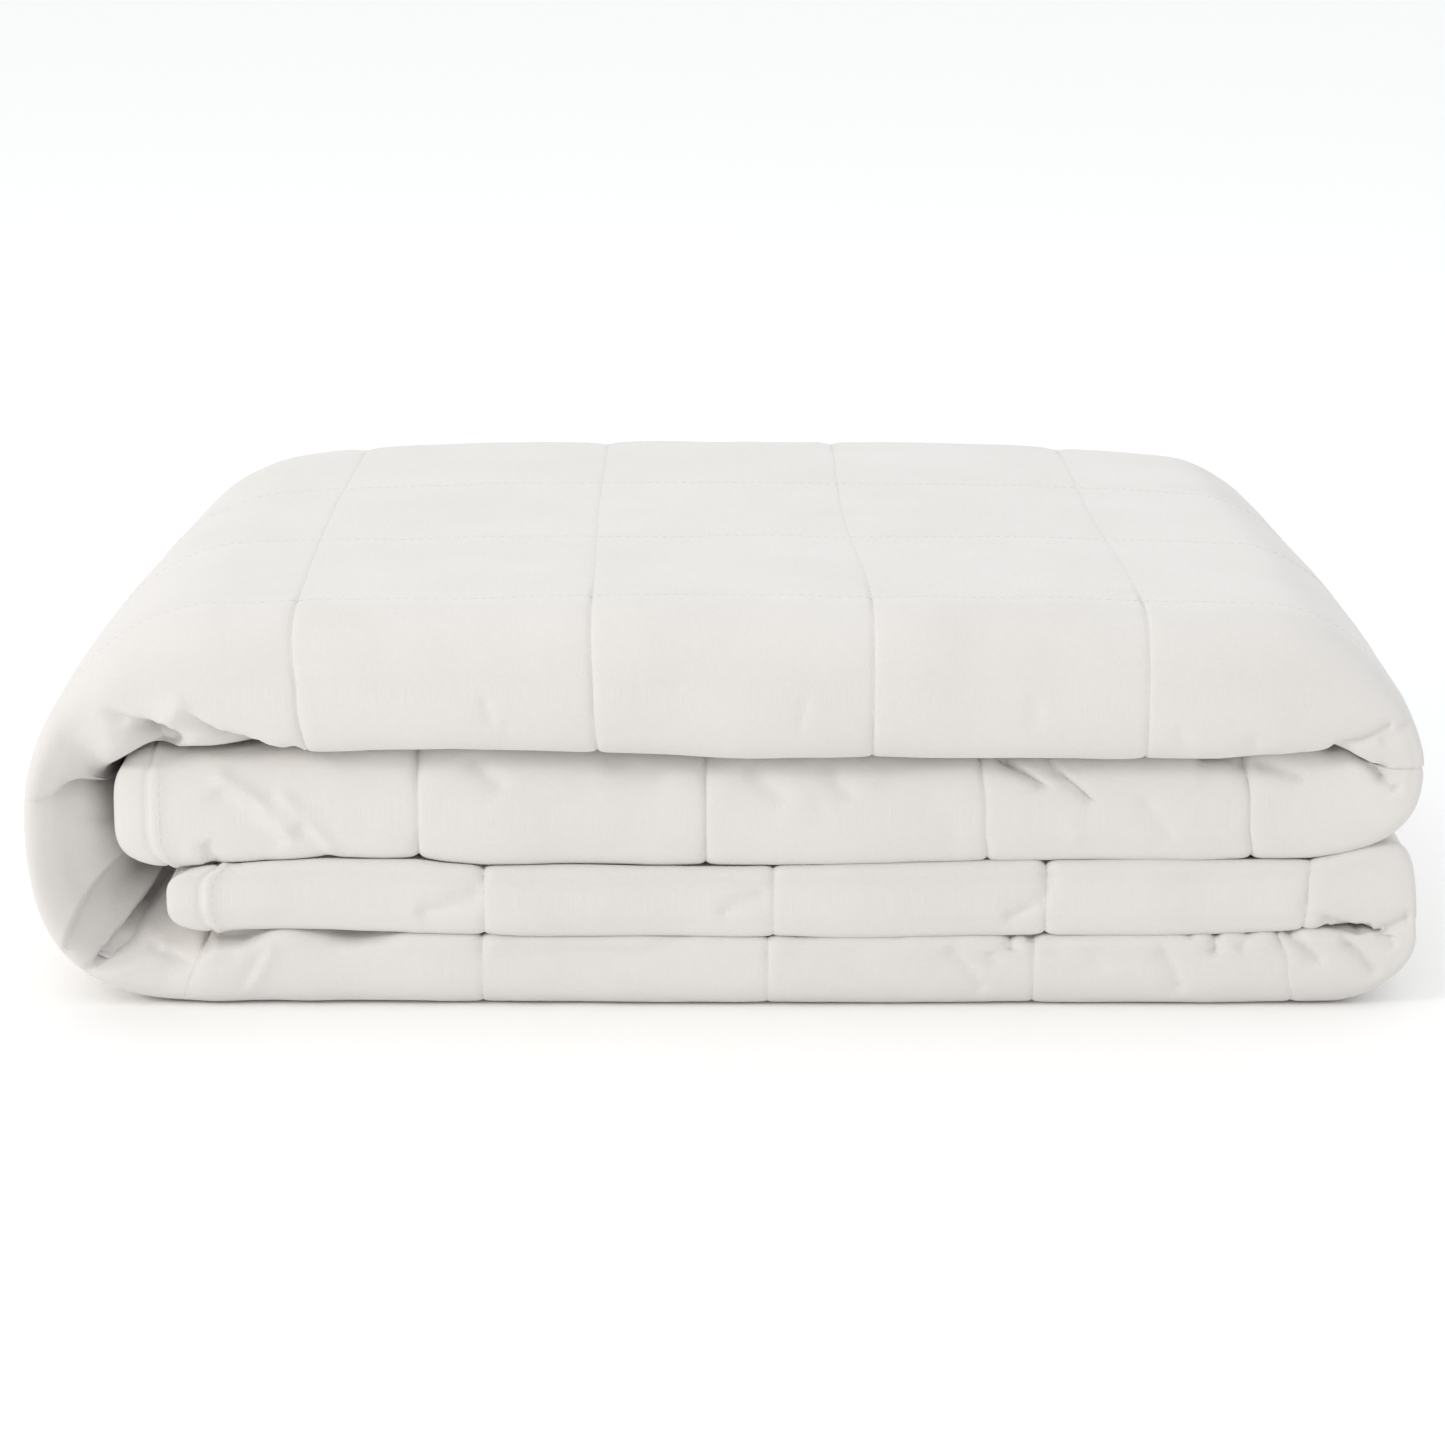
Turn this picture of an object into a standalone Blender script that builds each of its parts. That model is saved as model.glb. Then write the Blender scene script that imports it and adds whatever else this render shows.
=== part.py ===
"""A weighted blanket, folded for the shelf, in metres: +Z up, its folded front towards -Y.

The quilted cloth is one solid. It is folded in half twice across its width, which makes a bundle
of four plies with one round fold in front. The bundle then lies back and forth in four layers:
from its loose end inside, out to the right, back over the top, down round the left side, out to
the right along the floor, and back to its other loose end. The layers are numbered from the top.
"""

import math
from collections import namedtuple

import bmesh
import bpy

# The cloth as it was sewn
POCKET = 0.0984  # side of one square pocket
HEM = 0.016  # from the edge of the cloth to the seam of its hem
SHOULDER = 0.009  # from a seam to where its pocket is full
SEAM_FULL = 0.45  # thickness on a seam, as a share of a full pocket's
EDGE_FULL = 0.5  # thickness on the edge of the cloth, as the same share

# The folded block
LEFT_END, RIGHT_END = -0.2485, 0.2510
HALF_DEPTH = 0.1625
PLY_GAP = 0.0006
LAYER_GAP = 0.0008
BACK_NARROWING = 0.013  # how far each side draws in at the back
CROWN = 0.0045  # how much higher the top stands in its middle than at its sides
FRONT_STEPS = 8  # faces round the outer fold in front
INNER_STEPS = 4  # faces round each tight fold

# The four layers from the top: heights from the floor, the outermost points of the folds in front
# and behind, and where the sewn seams cross the layer from front to back.
Layer = namedtuple("Layer", "bottom top front back seams")
FIRST = Layer(0.0923, 0.1440, -HALF_DEPTH, 0.1650, (-0.147, -0.046, 0.053, 0.148))
SECOND = Layer(0.0506, 0.0915, -0.1490, 0.1590, (-0.108, -0.006, 0.095, 0.188))
THIRD = Layer(0.0243, 0.0498, -0.1490, 0.1600, (-0.085, 0.018, 0.115, 0.209))
FOURTH = Layer(0.0, 0.0235, -0.1490, 0.1590, (-0.086, 0.016, 0.111, 0.204))

# A bow is half of a rounded box: its centre, how far it reaches sideways, up and down, and how
# square its upper and lower corners are, where 2 is an ellipse.
Bow = namedtuple("Bow", "x z reach rise drop upper lower")
UPPER_TURN_X, LOWER_TURN_X, LEFT_TURN_X = 0.194, 0.218, -0.178  # where the layers begin to turn
HOLLOW_REACH = 0.050  # from there to the inside of the left turn

# The angles of the sections round each turn, and those of them that lie on a seam
UPPER_TURN, UPPER_TURN_SEAMS = (-90, -62, -34, -10, 0, 10, 34, 62, 90), (0,)
LEFT_TURN, LEFT_TURN_SEAMS = (90, 108, 127, 146, 166, 173, 180, 200, 220, 242, 261, 265, 269), (173, 265)
LOWER_TURN = (-90, -56, -20, 20, 56, 90)

# The loose ends inside the left turn, from the tip: the distance from it, the share of the layer's
# height, and how full the cloth is.
END_ROWS = ((0.0, 0.50, EDGE_FULL), (0.003, 0.76, 0.9), (0.008, 0.92, 1.0), (HEM, 0.96, SEAM_FULL),
            (HEM + SHOULDER, 1.0, 1.0))
SECOND_END, THIRD_END = -0.2160, -0.1980
HEMS_BEHIND = 0.002, 0.006  # how far the outer and inner long edges stop short of the back fold

CLOTH_COLOUR = (0.80, 0.775, 0.745, 1.0)
CLOTH_ROUGHNESS = 0.9

# One place along the bundle: its innermost and outermost points seen from the front, its front
# and back, and how full the cloth is there.
Station = namedtuple("Station", "inner outer front back full")


def mixed(a, b, share):
    return a + (b - a) * share


def on_bow(bow, degrees):
    """The point of a bow at an angle that runs from 0 on the right through 90 at the top."""
    turn = math.radians(degrees)
    cosine, sine = math.cos(turn), math.sin(turn)
    square = 2 / (bow.upper if sine > 0 else bow.lower)
    height = bow.rise if sine > 0 else bow.drop
    return (bow.x + math.copysign(bow.reach * abs(cosine) ** square, cosine),
            bow.z + math.copysign(height * abs(sine) ** square, sine))


def row_on_layer(layer, x, outer_is_top, full=1.0, height_share=1.0):
    middle = (layer.bottom + layer.top) / 2
    half = (layer.top - layer.bottom) / 2 * height_share
    top, bottom = (x, middle + half), (x, middle - half)
    inner, outer = (bottom, top) if outer_is_top else (top, bottom)
    return Station(inner, outer, layer.front, layer.back, full)


def straight_run(layer, start, stop, outer_is_top):
    """The layer's seams, and the shoulders on both sides of each, that lie between start and stop."""
    rows = [(x + step, full) for x in layer.seams
            for step, full in ((-SHOULDER, 1.0), (0.0, SEAM_FULL), (SHOULDER, 1.0))]
    low, high = min(start, stop), max(start, stop)
    rows = [row for row in rows if low + SHOULDER / 3 < row[0] < high - SHOULDER / 3]
    if start > stop:
        rows.reverse()
    return [row_on_layer(layer, x, outer_is_top, full) for x, full in rows]


def loose_end(layer, tip, outer_is_top):
    return [row_on_layer(layer, tip + far, outer_is_top, full, share) for far, share, full in END_ROWS]


def turn(angles, seams, inner, outer, from_layer, to_layer):
    """The stations round one end of the block, from one layer to the next."""
    made = []
    for angle in angles:
        share = (angle - angles[0]) / (angles[-1] - angles[0])
        made.append(Station(on_bow(inner, angle), on_bow(outer, angle),
                            mixed(from_layer.front, to_layer.front, share),
                            mixed(from_layer.back, to_layer.back, share),
                            SEAM_FULL if angle in seams else 1.0))
    return made


def crease_bow(x, z):
    """The inside of a turn whose two layers touch."""
    return Bow(x, z, LAYER_GAP, LAYER_GAP / 2, LAYER_GAP / 2, 2, 2)


def stations():
    """Every station, from the second layer's loose end to the third layer's."""
    upper_crease = (FIRST.bottom + SECOND.top) / 2
    lower_crease = (THIRD.bottom + FOURTH.top) / 2
    hollow_z = (FIRST.bottom + FOURTH.top) / 2
    hollow_half = (FIRST.bottom - FOURTH.top) / 2
    block_half = FIRST.top / 2
    upper_turn = Bow(UPPER_TURN_X, upper_crease, RIGHT_END - UPPER_TURN_X,
                     FIRST.top - upper_crease, upper_crease - SECOND.bottom, 1.85, 3.4)
    lower_turn = Bow(LOWER_TURN_X, lower_crease, RIGHT_END - LOWER_TURN_X,
                     THIRD.top - lower_crease, lower_crease - FOURTH.bottom, 3.5, 1.7)
    left_turn = Bow(LEFT_TURN_X, block_half, LEFT_TURN_X - LEFT_END, block_half, block_half, 2.0, 2.9)
    hollow = Bow(LEFT_TURN_X, hollow_z, HOLLOW_REACH, hollow_half, hollow_half, 3.5, 2.3)
    end_length = HEM + SHOULDER

    made = loose_end(SECOND, SECOND_END, False)
    made += straight_run(SECOND, SECOND_END + end_length, UPPER_TURN_X, False)
    made += turn(UPPER_TURN, UPPER_TURN_SEAMS, crease_bow(UPPER_TURN_X, upper_crease), upper_turn,
                 SECOND, FIRST)
    made += straight_run(FIRST, UPPER_TURN_X, LEFT_TURN_X, True)
    made += turn(LEFT_TURN, LEFT_TURN_SEAMS, hollow, left_turn, FIRST, FOURTH)
    made += straight_run(FOURTH, LEFT_TURN_X, LOWER_TURN_X, False)
    made += turn(LOWER_TURN, (), crease_bow(LOWER_TURN_X, lower_crease), lower_turn, FOURTH, THIRD)
    made += straight_run(THIRD, LOWER_TURN_X, THIRD_END + end_length, True)
    made += reversed(loose_end(THIRD, THIRD_END, True))
    return made


def arc(middle_y, middle_w, radius, first, last, steps, facing=1, middle_full=1.0):
    """Points round a fold of the cloth; facing is -1 where its good side is inside the fold."""
    made = []
    for step in range(steps + 1):
        angle = math.radians(mixed(first, last, step / steps))
        out_y, out_w = math.cos(angle), math.sin(angle)
        made.append((middle_y + radius * out_y, middle_w + radius * out_w,
                     facing * out_y, facing * out_w, middle_full if 2 * step == steps else 1.0))
    return made


def cloth_line(station, thick):
    """The middle of the cloth from hem to hem in one section, as (y, w, facing y, facing w, full).

    w runs from the bundle's inner side to its outer side and is 0 in the middle. The facing is the
    direction of the cloth's good side, which is outside the first fold and inside the bundle.
    """
    pitch = (thick + PLY_GAP) / 4
    ply = pitch - PLY_GAP
    front = station.front + 1.5 * pitch + ply / 2
    back = station.back - pitch
    outer_edge, inner_edge = (station.back - short for short in HEMS_BEHIND)

    def flat(y, row, facing, full=1.0):
        return (y, row * pitch, 0.0, facing, full)

    line = [flat(outer_edge, -1.5, -1, EDGE_FULL), flat(outer_edge - HEM / 2, -1.5, -1),
            flat(outer_edge - HEM, -1.5, -1, SEAM_FULL)]
    line += arc(front, 0.0, 1.5 * pitch, 270, 90, FRONT_STEPS)
    for count in (3, 2, 1):
        seam = back - POCKET * (count - 0.12)  # the fold itself takes up the rest of its pocket
        line += [flat(seam, 1.5, 1, SEAM_FULL), flat(seam + SHOULDER, 1.5, 1)]
        if count > 1:
            line += [flat(seam + POCKET - SHOULDER, 1.5, 1)]
    line += arc(back, pitch, 0.5 * pitch, 90, -90, INNER_STEPS, middle_full=SEAM_FULL)
    line += arc(front, 0.0, 0.5 * pitch, 90, 270, INNER_STEPS, facing=-1)
    line += [flat(inner_edge - HEM, -0.5, 1, SEAM_FULL), flat(inner_edge - HEM / 2, -0.5, 1),
             flat(inner_edge, -0.5, 1, EDGE_FULL)]
    return line, ply


def settled(x, y, z):
    """The whole block draws in at the back, and its top stands a little higher in the middle."""
    across = x / RIGHT_END
    depth = (y + HALF_DEPTH) / (2 * HALF_DEPTH)
    return (x - BACK_NARROWING * across ** 3 * depth,
            y,
            z + CROWN * (z / FIRST.top) ** 3 * (1 - across ** 2))


def section(station):
    """One closed outline of the folded cloth: its good side from hem to hem, then the other side."""
    (inner_x, inner_z), (outer_x, outer_z) = station.inner, station.outer
    thick = math.dist(station.inner, station.outer)
    line, ply = cloth_line(station, thick)
    sides = []
    for side in (1, -1):
        row = []
        for y, w, facing_y, facing_w, full in line:
            half = side * ply / 2 * min(full, station.full)
            share = 0.5 + (w + facing_w * half) / thick
            row.append(settled(mixed(inner_x, outer_x, share), y + facing_y * half,
                               mixed(inner_z, outer_z, share)))
        sides.append(row)
    return sides


def folded_blanket():
    """Lofts the cloth through its sections and closes both loose ends."""
    cloth = bmesh.new()
    rings = [[[cloth.verts.new(point) for point in side] for side in section(station)]
             for station in stations()]
    for (good, under), (next_good, next_under) in zip(rings, rings[1:]):
        loop = good + under[::-1]
        next_loop = next_good + next_under[::-1]
        for i in range(len(loop)):
            j = (i + 1) % len(loop)
            cloth.faces.new((loop[i], loop[j], next_loop[j], next_loop[i]))
    for good, under in (rings[0], rings[-1]):
        for i in range(len(good) - 1):
            cloth.faces.new((good[i], good[i + 1], under[i + 1], under[i]))
    bmesh.ops.recalc_face_normals(cloth, faces=cloth.faces)
    mesh = bpy.data.meshes.new("quilted_cloth")
    cloth.to_mesh(mesh)
    cloth.free()
    mesh.shade_smooth()
    return mesh


def cloth_material():
    material = bpy.data.materials.new("off_white_cotton")
    material.use_nodes = True
    shader = material.node_tree.nodes["Principled BSDF"]
    shader.inputs["Base Color"].default_value = CLOTH_COLOUR
    shader.inputs["Roughness"].default_value = CLOTH_ROUGHNESS
    shader.inputs["Metallic"].default_value = 0.0
    return material


def clear_scene():
    for thing in list(bpy.data.objects):
        bpy.data.objects.remove(thing)


def build():
    clear_scene()
    collection = bpy.data.collections.new("weighted_blanket")
    bpy.context.scene.collection.children.link(collection)
    blanket = bpy.data.objects.new("blanket", folded_blanket())
    blanket.data.materials.append(cloth_material())
    collection.objects.link(blanket)


build()
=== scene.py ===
import math

import bpy
import numpy as np
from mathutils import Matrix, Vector


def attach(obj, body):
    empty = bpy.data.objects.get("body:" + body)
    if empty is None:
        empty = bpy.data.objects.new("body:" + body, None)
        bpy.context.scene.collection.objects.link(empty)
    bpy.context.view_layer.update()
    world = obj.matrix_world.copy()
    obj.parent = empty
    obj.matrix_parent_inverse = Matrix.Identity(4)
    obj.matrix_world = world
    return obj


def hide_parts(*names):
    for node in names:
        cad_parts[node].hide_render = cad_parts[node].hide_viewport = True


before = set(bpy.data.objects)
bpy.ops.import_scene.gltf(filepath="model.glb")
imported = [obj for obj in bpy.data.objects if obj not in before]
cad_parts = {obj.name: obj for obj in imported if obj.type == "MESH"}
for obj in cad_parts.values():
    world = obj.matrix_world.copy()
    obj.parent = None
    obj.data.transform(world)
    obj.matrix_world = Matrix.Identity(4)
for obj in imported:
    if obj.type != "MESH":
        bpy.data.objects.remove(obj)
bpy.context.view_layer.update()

print("frame loaded")

# Lengths are in metres. The front folds face -Y, and the layers are counted from the top.

cloth = {
    "pocket": 0.0984,
    "hem": 0.016,
    "plyGap": 0.0006,  # between the plies of one layer
    "seamDepth": 0.0011,  # how far a seam pulls in
    "seamWidth": 0.0009,
    "swellDepth": 0.0002,  # the wide part of the same hollow
    "swellWidth": 0.014,
    "notchDepth": 0.0024,  # extra pull of a seam where two layers meet at the front
    "notchWidth": 0.0022,
    "press": 0.0015,  # how far the layers' weight squeezes their front corners out
    "lengthwise": 0.30,  # share of their depth that the seams along the blanket have, and down the sides
    "lengthwiseOnSide": 0.8,
    "layerPull": (0.72, 1, 1, 0.75, 1),  # strength of the seams on each layer and on the turn at the left
    "plump": 0.006,  # half of a ply's thickness from which its seams have their whole strength
    "sidePull": 1.7,  # how much stronger they are down the sides and at the back
    "hemRidges": (0.0009, 0.0008),  # heights of the hem at the loose ends and along the two long edges
    "edgeThin": 0.55,  # share of its thickness that the cloth loses on its edges, and over what length
    "edgeLength": 0.0022,
    # sizes of the cells along the cloth: where it shows, in creases, in the turn at the left, in the cleft
    # there, at the loose ends, on the turn's inner side, on hidden edges and where nothing shows
    "step": 0.0034,
    "fineStep": 0.0014,
    "turnStep": 0.0019,
    "cleftStep": 0.0013,
    "cleftCells": (-198, 55),  # in millimetres: the cleft's cells lie left of the one and below the other
    "endStep": 0.0011,
    "endLength": 0.024,
    "innerStep": 0.0026,
    "edgeStep": 0.0060,
    "hiddenStep": 0.020,
}

fold = {
    # heights of the lines between the layers, along x
    "gapAbove2": ((-0.23, 0.0942), (-0.150, 0.0945), (-0.125, 0.0954), (-0.095, 0.0957), (-0.045, 0.0938),
                  (0.0, 0.0924), (0.053, 0.0920), (0.15, 0.0920), (0.175, 0.0926), (0.200, 0.0954),
                  (0.214, 0.0966), (0.25, 0.0966)),
    "gapAbove3": ((-0.23, 0.0508), (-0.18, 0.0530), (-0.14, 0.0548), (-0.109, 0.0544), (-0.098, 0.0529),
                  (-0.086, 0.0523), (0.0, 0.0520), (0.04, 0.0524), (0.095, 0.0541), (0.187, 0.0546),
                  (0.208, 0.0550), (0.218, 0.0564), (0.25, 0.0580)),
    "gapAbove4": ((-0.23, 0.0275), (-0.17, 0.0293), (-0.14, 0.0290), (-0.108, 0.0275), (0.016, 0.0262),
                  (0.111, 0.0268), (0.18, 0.0275), (0.20, 0.0284), (0.212, 0.0292), (0.25, 0.0292)),
    # the first layer's underside stands off the second near the turn at the left
    "lift": ((-0.23, 0.0014), (-0.190, 0.0012), (-0.165, 0.0010), (-0.150, 0.0)),
    "gap": 0.0005,
    "top": 0.1440,
    "left": -0.2479,
    "right": (0.2472, 0.2468),  # outlines of the upper and the lower turn
    "upperTurn": (0.194, 0.0912),
    "lowerTurn": (0.218, 0.0259),
    "lowerRise": 0.28,  # the lower turn's top climbs towards its end
    # how square the upper and the lower half of each turn's outline are: 2 is an ellipse
    "upperBow": (1.85, 2.7),
    "lowerBow": (4.6, 1.8),
    "leftBow": (2.0, 2.9),
    "hollowBow": (3.5, 2.3),
    "hollowReach": 0.050,  # from where the turn at the left begins to the end of the hollow inside it
    # the line inside each turn at the right along which the cloth folds back on itself
    "upperCrease": ((0.194, 0.0947), (0.214, 0.0964), (0.221, 0.0956), (0.231, 0.0905)),
    "lowerCrease": ((0.218, 0.0292), (0.2345, 0.0284)),
    "upperOpening": (0.0015, 0.0020),  # how far the cloth stands off those lines, above and below
    "lowerOpening": (0.0009, 0.0010),
    "leftTurnX": -0.178,
    "fronts": (-0.1625, -0.1490, -0.1490, -0.1490),
    "backs": (0.1650, 0.1590, 0.1600, 0.1590),
    "ends": (-0.2160, -0.1980),  # tips of the second and third layers
    # how square each layer's front is, on its inner and on its outer side: 2 is round
    "squareness": ((5.0, 2.8), (5.5, 9.0), (7.5, 9.0), (6.5, 4.0)),
    "meanSquareness": 4.2,  # the one for which the cells are evenly spread
    # where the inner sides of the second and the fourth layer are rounder
    "slack": {1: ((-0.150, 0.5), (-0.050, 1.9), (0.060, 1.9), (0.085, 0.8), (0.200, 0.5)),
              3: ((-0.200, 4.0), (-0.172, 3.6), (-0.158, 0), (-0.150, 1.5), (-0.138, 4.0), (-0.125, 3.0),
                  (-0.108, 0))},
    "roundInside": 2.1,  # the squareness beside the hollow at the left
    "hemsBehind": (0.002, 0.006),  # how far the outer and the inner long edge stop short of the back
}


def along(table, x):
    points = np.array(table)
    return np.interp(x, points[:, 0], points[:, 1])


def smooth(low, high, value):
    share = np.clip((value - low) / (high - low), 0, 1)
    return share * share * (3 - 2 * share)


def roundBox(centre, reach, rise, drop, upper, lower, degrees):
    # a rounded box's outline at an angle from the right: 2 is an ellipse, more is squarer
    angle = np.radians(degrees)
    cosine, sine = np.cos(angle), np.sin(angle)
    power = np.where(sine > 0, 2 / upper, 2 / lower)
    height = np.where(sine > 0, rise, drop)
    return np.stack([centre[0] + reach * np.sign(cosine) * np.abs(cosine) ** power,
                     centre[1] + height * np.sign(sine) * np.abs(sine) ** power], 1)


def wedge(line, rise, drop, degrees):
    # the hollow inside a tight turn: pinched shut where the layers meet, widest near its round end
    angle = np.radians(degrees)
    share = np.clip(np.cos(angle), 0, 1) ** 0.3
    opening = (0.5 * share ** 2 + np.exp(-((share - 0.57) / 0.11) ** 2)) * np.sqrt(np.abs(np.sin(angle)))
    x = line[0][0] + (line[-1][0] - line[0][0]) * share
    return np.stack([x, along(line, x) + np.where(angle > 0, rise, -drop) * opening], 1)


def lengthsAlong(line):
    return np.concatenate([[0], np.cumsum(np.linalg.norm(np.diff(line, axis=0), axis=1))])


def evenly(points, like):
    # the same line, with its points at the shares of its length that another line has
    own, wanted = (lengths / lengths[-1] for lengths in (lengthsAlong(points), lengthsAlong(like)))
    return np.stack([np.interp(wanted, own, points[:, k]) for k in range(2)], 1)


def innerSquareness(layer, x):
    looser = along(fold["slack"][layer], x) if layer in fold["slack"] else 0 * x
    return fold["squareness"][layer][0] - looser


def layerRun(layer, start, stop):
    # straight stretch of one layer: inner and outer points, seen from the front
    x = np.linspace(start, stop, 240)
    half = fold["gap"] / 2
    gaps = [along(fold[name], x) for name in ("gapAbove2", "gapAbove3", "gapAbove4")]
    same = lambda value: np.full_like(x, value)
    top = (same(fold["top"]), gaps[0] - half, gaps[1] - half, gaps[2] - half)[layer]
    under = (gaps[0] + half + along(fold["lift"], x), gaps[1] + half, gaps[2] + half, same(0))[layer]
    up, down = np.stack([x, top], 1), np.stack([x, under], 1)
    outerOnTop = layer in (0, 2)
    return {"inner": down if outerOnTop else up, "outer": up if outerOnTop else down, "at": x,
            "front": same(fold["fronts"][layer]), "back": same(fold["backs"][layer]),
            "square": np.stack([innerSquareness(layer, x), same(fold["squareness"][layer][1])], 1)}


def turnRun(inner, outer, degrees, fromLayer, toLayer, x):
    # a turn that begins at x: its front, back and squareness pass from one layer's to the other's
    share = (degrees - degrees[0]) / (degrees[-1] - degrees[0])
    ease = share * share * (3 - 2 * share)
    mixed = lambda values: values[fromLayer] + (values[toLayer] - values[fromLayer]) * ease
    squares = np.array(fold["squareness"])
    squares[:, 0] = [innerSquareness(layer, x) for layer in range(4)]
    square = squares[fromLayer] + (squares[toLayer] - squares[fromLayer]) * ease[:, None]
    if toLayer - fromLayer == 3:
        # the turn at the left rounds off towards its hollow
        rounder = (fold["roundInside"] - square[:, 0]) * smooth(100, 150, degrees)
        square[:, 0] += rounder * smooth(268, 240, degrees)
    return {"inner": inner, "outer": outer, "at": degrees,
            "front": mixed(fold["fronts"]), "back": mixed(fold["backs"]), "square": square}


def pathStretches():
    # the folded bundle from the second layer's loose end to the third layer's
    half = fold["gap"] / 2
    (upperX, upperZ), (lowerX, lowerZ), leftX = fold["upperTurn"], fold["lowerTurn"], fold["leftTurnX"]
    base2 = float(along(fold["gapAbove3"], upperX)) + half
    top3 = float(along(fold["gapAbove3"], lowerX)) - half
    hollowTop = float(along(fold["gapAbove2"], leftX) + along(fold["lift"], leftX)) + half
    hollowBase = float(along(fold["gapAbove4"], leftX)) - half
    rightAngles = np.linspace(-90, 90, 260)
    leftAngles = np.linspace(90, 270, 420)
    upperOuter = roundBox((upperX, upperZ), fold["right"][0] - upperX, fold["top"] - upperZ, upperZ - base2,
                          *fold["upperBow"], rightAngles)
    lowerOuter = roundBox((lowerX, lowerZ), fold["right"][1] - lowerX, top3 - lowerZ, lowerZ,
                          *fold["lowerBow"], rightAngles)
    rise = fold["lowerRise"] * (lowerOuter[:, 0] - lowerX)
    lowerOuter[:, 1] += rise * smooth(lowerZ, top3, lowerOuter[:, 1])
    leftOuter = roundBox((leftX, fold["top"] / 2), leftX - fold["left"], fold["top"] / 2, fold["top"] / 2,
                         *fold["leftBow"], leftAngles)
    hollowZ, hollowHalf = (hollowTop + hollowBase) / 2, (hollowTop - hollowBase) / 2
    leftInner = roundBox((leftX, hollowZ), fold["hollowReach"], hollowHalf, hollowHalf,
                         *fold["hollowBow"], leftAngles)
    upperInner = evenly(wedge(fold["upperCrease"], *fold["upperOpening"], rightAngles), upperOuter)
    lowerInner = evenly(wedge(fold["lowerCrease"], *fold["lowerOpening"], rightAngles), lowerOuter)
    return {
        "second": layerRun(1, fold["ends"][0], upperX),
        "upperTurn": turnRun(upperInner, upperOuter, rightAngles, 1, 0, upperX),
        "first": layerRun(0, upperX, leftX),
        "leftTurn": turnRun(leftInner, leftOuter, leftAngles, 0, 3, leftX),
        "fourth": layerRun(3, leftX, lowerX),
        "lowerTurn": turnRun(lowerInner, lowerOuter, rightAngles, 3, 2, lowerX),
        "third": layerRun(2, lowerX, fold["ends"][1]),
    }


# Where each seam crosses the folded blanket, how much it pinches where the layers meet, and how far along
# the blanket it slants on the fold's inner side and on its outer side
seamPlaces = {
    "second": ((-0.108, 1.1, 0, 0), (-0.006, 0.55, 0, 0), (0.094, 0.35, -0.003, 0),
               (0.188, 0.9, -0.0035, 0)),
    "upperTurn": ((0, 0.5, 0, 0),),
    "first": ((0.1485, 0.3, 0, 0.0050), (0.0525, 0.3, 0, 0.0065), (-0.046, 0.35, -0.002, 0.0025),
              (-0.1505, 0.4, -0.0045, 0.0030)),
    "leftTurn": ((174, 0.3, -0.009, 0), (263, 0.6, 0.003, 0)),
    "fourth": ((-0.086, 0.8, 0, 0), (0.016, 0.4, 0, 0), (0.111, 0.7, 0, 0), (0.204, 1.0, -0.006, 0)),
    "third": ((0.209, 0.4, 0.002, 0), (0.115, 1.1, 0, 0), (0.018, 0.3, 0, 0), (-0.085, 0.7, 0, 0)),
}


def joinPath(stretches):
    # one long path, measured along the outside, that remembers where each stretch begins
    path = {key: [] for key in ("inner", "outer", "front", "back", "square", "length", "stretch")}
    total, last = 0.0, None
    for number, (name, run) in enumerate(stretches.items()):
        jump = 0.0 if last is None else float(np.linalg.norm(run["outer"][0] - last))
        lengths = total + jump + lengthsAlong(run["outer"])
        run["length"] = lengths
        total, last = lengths[-1], run["outer"][-1]
        for key in ("inner", "outer", "front", "back", "square"):
            path[key].append(run[key])
        path["length"].append(lengths)
        path["stretch"].append(np.full(len(lengths), number))
    return {key: np.concatenate(value) for key, value in path.items()}


def lengthAt(stretches, name, place):
    # path length at an x of a layer, or at an angle of a turn
    run = stretches[name]
    rising = np.argsort(run["at"])
    return float(np.interp(place, run["at"][rising], run["length"][rising]))


def stationLengths(path, anchors, total):
    # rows of cells along the path: close together at creases, hems and seams
    places = np.linspace(0, total, 6001)
    # in millimetres, as the creases are
    x = np.interp(places, path["length"], path["outer"][:, 0]) * 1000
    z = np.interp(places, path["length"], path["outer"][:, 1]) * 1000
    tags = layerTags(path, places)
    step = np.full(len(places), cloth["step"])
    for layers, points, depth, width, lean in frontCreases:
        across = [point[0] for point in points]
        near = (x > min(across) - 1.5 * width) & (x < max(across) + 1.5 * width) & np.isin(tags, layers)
        wanted = 0.0006 * width * min(lean, 1) / math.sqrt(abs(depth))
        step[near] = np.minimum(step[near], np.clip(wanted, cloth["fineStep"], cloth["step"]))
    step[tags == 4] = np.minimum(step[tags == 4], cloth["turnStep"])
    step[(tags == 4) & (x < cloth["cleftCells"][0]) & (z < cloth["cleftCells"][1])] = cloth["cleftStep"]
    step[np.minimum(places, total - places) < cloth["endLength"]] = cloth["endStep"]
    made = np.concatenate([[0], np.cumsum((1 / step)[1:] * np.diff(places))])
    even = np.interp(np.linspace(0, made[-1], int(made[-1]) + 1), made, places)
    # seven rows at each anchor take the place of the even ones there
    close = np.array([-0.0034, -0.0018, -0.0008, 0, 0.0008, 0.0018, 0.0034])
    special = (np.array(anchors)[:, None] + close[None, :]).ravel()
    gap = np.min(np.abs(even[:, None] - special[None, :]), 1)
    even = even[gap > 0.0007]
    return np.unique(np.concatenate([[0], even, special, [total]]))


def layerTags(path, places):
    # the layer at each place of the path, counted from the top, and 4 for the turn at the left
    stretch = np.round(np.interp(places, path["length"], path["stretch"].astype(float))).astype(int)
    z = np.interp(places, path["length"], path["outer"][:, 1])
    upperTurn = np.where(z > fold["upperTurn"][1], 0, 1)
    lowerTurn = np.where(z < fold["lowerTurn"][1], 3, 2)
    return np.select([stretch == k for k in range(6)], [1, upperTurn, 0, 4, 3, lowerTurn], 2)


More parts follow.
